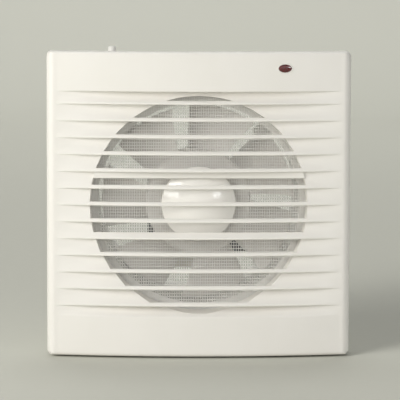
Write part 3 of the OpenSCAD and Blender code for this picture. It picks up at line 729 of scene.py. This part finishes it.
# ------------------------------------------------------------------ impeller
def blade_mesh(first):
    """One twisted blade with thin rounded edges, its root in the hub; first is its angle."""
    y0, y1, chord, lag = -12.6, 6.0, 40.0, 6
    ns = [0, 0.004, 0.015, 0.04] + list(np.linspace(0.08, 0.92, 22)) + [0.96, 0.985, 0.996, 1]
    nr = list(np.linspace(0, 0.94, 14)) + [0.97, 0.99, 0.998, 1]
    front, back = [], []
    for q in nr:
        r = HUB_R - 1 + (TIP_R - HUB_R + 1) * q
        for s in ns:
            a = math.radians(first + chord * s - lag * q)
            y = y0 + (y1 - y0) * (0.8 * s + 0.2 * s * s)
            t = (0.35 + 0.55 * math.sqrt(4 * s * (1 - s))) * min(1, math.sqrt(min(s, 1 - s) / 0.02))
            t *= min(1, math.sqrt(max(0, 1 - q) / 0.03)) if q > 0.5 else 1
            front.append((r * math.cos(a), y - t, r * math.sin(a)))
            back.append((r * math.cos(a), y + t, r * math.sin(a)))
    m, n = len(nr), len(ns)
    verts, off = front + back, len(front)
    faces = []
    for i in range(m - 1):
        for j in range(n - 1):
            a = i * n + j
            faces.append((a, a + 1, a + n + 1, a + n))
            faces.append((off + a, off + a + n, off + a + n + 1, off + a + 1))
        for j in (0, n - 1):
            a = i * n + j
            faces.append((a, a + n, off + a + n, off + a))
    for i in (0, m - 1):
        for j in range(n - 1):
            a = i * n + j
            faces.append((a, a + 1, off + a + 1, off + a))
    return mesh_from("blade", verts, faces, merge=0.0005)


def impeller_mesh():
    """A hollow hub with a rounded front edge, a bore for the shaft, and the blades round it."""
    front, rear, r = 14.0, -7.0, HUB_R
    profile = [(2.02, front - 0.3), (2.4, front), (r - 3, front)]
    profile += arc(r - 3, front - 3, 3.0, 90, 0, 10)
    profile += [(r, rear + 0.2), (r - 0.2, rear), (r - 1.4, rear), (r - 1.6, rear + 0.2)]
    profile += [(r - 1.6, front - 3.6), (r - 3.6, front - 1.6), (5.6, front - 1.6), (5.0, front - 2.2),
                (5.0, rear - 1), (2.02, rear - 1)]
    parts = [lathe("hub", [(a, -b) for a, b in profile], 144)]
    parts += [blade_mesh(9 + 360 * k / BLADES) for k in range(BLADES)]
    return joined("impeller", parts)


piece("fan_wheel", impeller_mesh(), "impeller", "impeller", ["impeller_hub", "impeller_blades"], smooth=38)


# ------------------------------------------------------------------ housing, moulded in one
WELD = 0.000002                         # metres
HOUSING = ["back_plate", "cable_entry", "housing_walls", "housing_seats", "duct_mouth",
           "duct_tube", "bracket_bosses"]


def soften(o, width):
    """Rounds an object's edges without moving its flat faces."""
    flat = o.modifiers.new("flat", "DECIMATE")
    flat.decimate_type = "DISSOLVE"
    flat.angle_limit = math.radians(0.6)
    b = o.modifiers.new("bevel", "BEVEL")
    b.width, b.segments = width * MM, 2
    b.limit_method, b.angle_limit = "ANGLE", math.radians(38)
    b.use_clamp_overlap = True
    n = o.modifiers.new("normals", "WEIGHTED_NORMAL")
    n.keep_sharp = True


def housing_mesh():
    """The housing's CAD nodes made into one moulding."""
    whole = None
    for name in HOUSING:
        me = NODES[name].data.copy()
        me.transform(NODES[name].matrix_world)
        bm = bmesh.new()
        bm.from_mesh(me)
        bmesh.ops.remove_doubles(bm, verts=bm.verts, dist=WELD)
        bm.to_mesh(me)
        bm.free()
        whole = me if whole is None else combined(whole, me, "UNION")
    return whole


soften(piece("housing", housing_mesh(), "base", "housing", HOUSING, smooth=38), 0.35)


# ------------------------------------------------------------------ CAD nodes that stay
def finish_node(name, slot, bevel):
    """A carried-over node: welded, softened edges, smooth faces and its slot's material."""
    o = NODES[name]
    o.data.materials.clear()
    o.data.materials.append(LEADS.get(name) or LOOKS[slot])
    o.data.polygons.foreach_set("use_smooth", [True] * len(o.data.polygons))
    weld = o.modifiers.new("weld", "WELD")
    weld.merge_threshold = WELD
    if bevel:
        soften(o, bevel)


USUAL_BEVEL = 0.12
BEVELS = {"motor_bracket": 0.3, "coil_bobbin": 0.2, "coil_winding": 0.8, "terminal_block": 0.25,
          "cable_clamp": 0.3, "cable_grommet": 0.3, "switch_body": 0.3, "net_ring": 0.15,
          "led_board": 0.08}
NO_BEVEL = ("motor_leads", "switch_leads", "led_leads", "switch_spring", "led_lamp", "led_resistor",
            "motor_shaft")
for part in frame["record"]["subparts"]:
    name, slot = part["node"], part["material_slot"]
    if not NODES[name].hide_render:
        finish_node(name, slot, 0 if name in NO_BEVEL else BEVELS.get(name, USUAL_BEVEL))
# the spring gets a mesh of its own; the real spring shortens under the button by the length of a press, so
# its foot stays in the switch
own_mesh(NODES["switch_spring"])


# ------------------------------------------------------------------ floor, light, camera
def stage_sheet():
    """One sheet of pale board: floor, bend and wall behind."""
    floor, bend_y, bend_r, half = -HALF_H - 1.2, 1500, 500, 4200
    bend = [(bend_y + bend_r * math.sin(a), floor + bend_r * (1 - math.cos(a)))
            for a in np.linspace(0, math.pi / 2, 24)]
    line = [(-2600, floor)] + bend + [(bend_y + bend_r, 2600)]
    verts = [(x, y, z) for x in (-half, half) for y, z in line]
    n = len(line)
    faces = [(i, i + 1, n + i + 1, n + i) for i in range(n - 1)]
    me = mesh_from("sheet", verts, faces)
    m = Nodes("backdrop")
    tone = m.noise(1.2, 2, 0.5)
    m.set(Base_Color=m.mix(tone, (0.490, 0.490, 0.436), (0.512, 0.512, 0.458)),
          Roughness=m.spread(m.noise(300, 4), 0.3, 0.7, 0.8, 0.95), Specular_IOR_Level=0.2)
    m.bump((m.noise(900, 4), 0.15, 0.1))
    o = new_object("backdrop", me, m.mat, 60)
    return o


sheet = stage_sheet()


def area(name, power, size, where, target=(0, -0.02, 0), colour=(1, 1, 1)):
    """A lamp with a rectangular face, turned to its target; places in metres."""
    light = bpy.data.lights.new(name, "AREA")
    light.shape = "RECTANGLE"
    light.size, light.size_y = size
    light.energy = power
    light.color = colour
    o = bpy.data.objects.new(name, light)
    bpy.context.scene.collection.objects.link(o)
    o.location = where
    o.rotation_mode = "QUATERNION"
    o.rotation_quaternion = (Vector(target) - Vector(where)).to_track_quat("-Z", "Y")
    return o


def around(azimuth, elevation, distance):
    """A place seen from the origin at these angles, where azimuth 0 is the fan's front."""
    a, e = math.radians(azimuth), math.radians(elevation)
    return (math.sin(a) * math.cos(e) * distance, -math.cos(a) * math.cos(e) * distance,
            math.sin(e) * distance)


area("key", 13.2, (0.80, 0.72), around(-51, 20, 1.3), colour=(1.0, 0.99, 0.955))
area("front", 7.5, (2.0, 1.6), around(2, 10, 2.6), colour=(1.0, 0.985, 0.96))
area("fill", 2.9, (0.40, 0.26), around(33, 10, 1.6), colour=(0.97, 0.98, 1.0))
area("side", 4.4, (0.8, 0.8), around(78, 12, 2.0))
area("overhead", 4.6, (0.7, 0.5), (0, 0.42, 1.5), colour=(1.0, 1.0, 0.98))
area("backdrop_wash", 16.0, (2.4, 0.5), (0, 1.45, 1.35), (0, 1.9, 0.1))

# a distant lamp that lights only the sheet, so that the fan's shadow falls to the right
only_sheet = bpy.data.collections.new("only_sheet")
only_sheet.objects.link(sheet)
slant = area("slant", 42.0, (1.2, 1.2), around(-40, 24, 3.2), colour=(1.0, 0.99, 0.955))
slant.light_linking.receiver_collection = only_sheet

world = bpy.data.worlds.new("room")
bpy.context.scene.world = world
world.use_nodes = True
sky = world.node_tree.nodes["Background"]
sky.inputs[0].default_value = (0.95, 0.97, 1.0, 1)
sky.inputs[1].default_value = 0.15

# the camera stands in front and a little above; it looks past the fan's middle by a small shift
AIM, AZIMUTH, ELEVATION, DISTANCE = Vector((0.0, -0.02, 0.0)), -1.3, 6.963, 1.632
SHIFT_RIGHT, SHIFT_UP, ROLL = 0.0009, 0.0019, 0.207
back = Vector(around(AZIMUTH, ELEVATION, 1.0))
right = Vector((math.cos(math.radians(AZIMUTH)), math.sin(math.radians(AZIMUTH)), 0))
up = back.cross(right)
lens = bpy.data.cameras.new("camera")
lens.sensor_width, lens.lens = 36.0, 247.1
lens.clip_start, lens.clip_end = 0.05, 30
lens.dof.use_dof = False
camera = bpy.data.objects.new("camera", lens)
bpy.context.scene.collection.objects.link(camera)
camera.location = AIM + back * DISTANCE
look = AIM + right * SHIFT_RIGHT + up * SHIFT_UP - camera.location
camera.rotation_mode = "QUATERNION"
camera.rotation_quaternion = (look.to_track_quat("-Z", "Y").to_matrix()
                              @ Matrix.Rotation(math.radians(ROLL), 3, "Z")).to_quaternion()
bpy.context.scene.camera = camera
bpy.context.scene.view_settings.view_transform = "Standard"
bpy.context.scene.view_settings.look = "None"
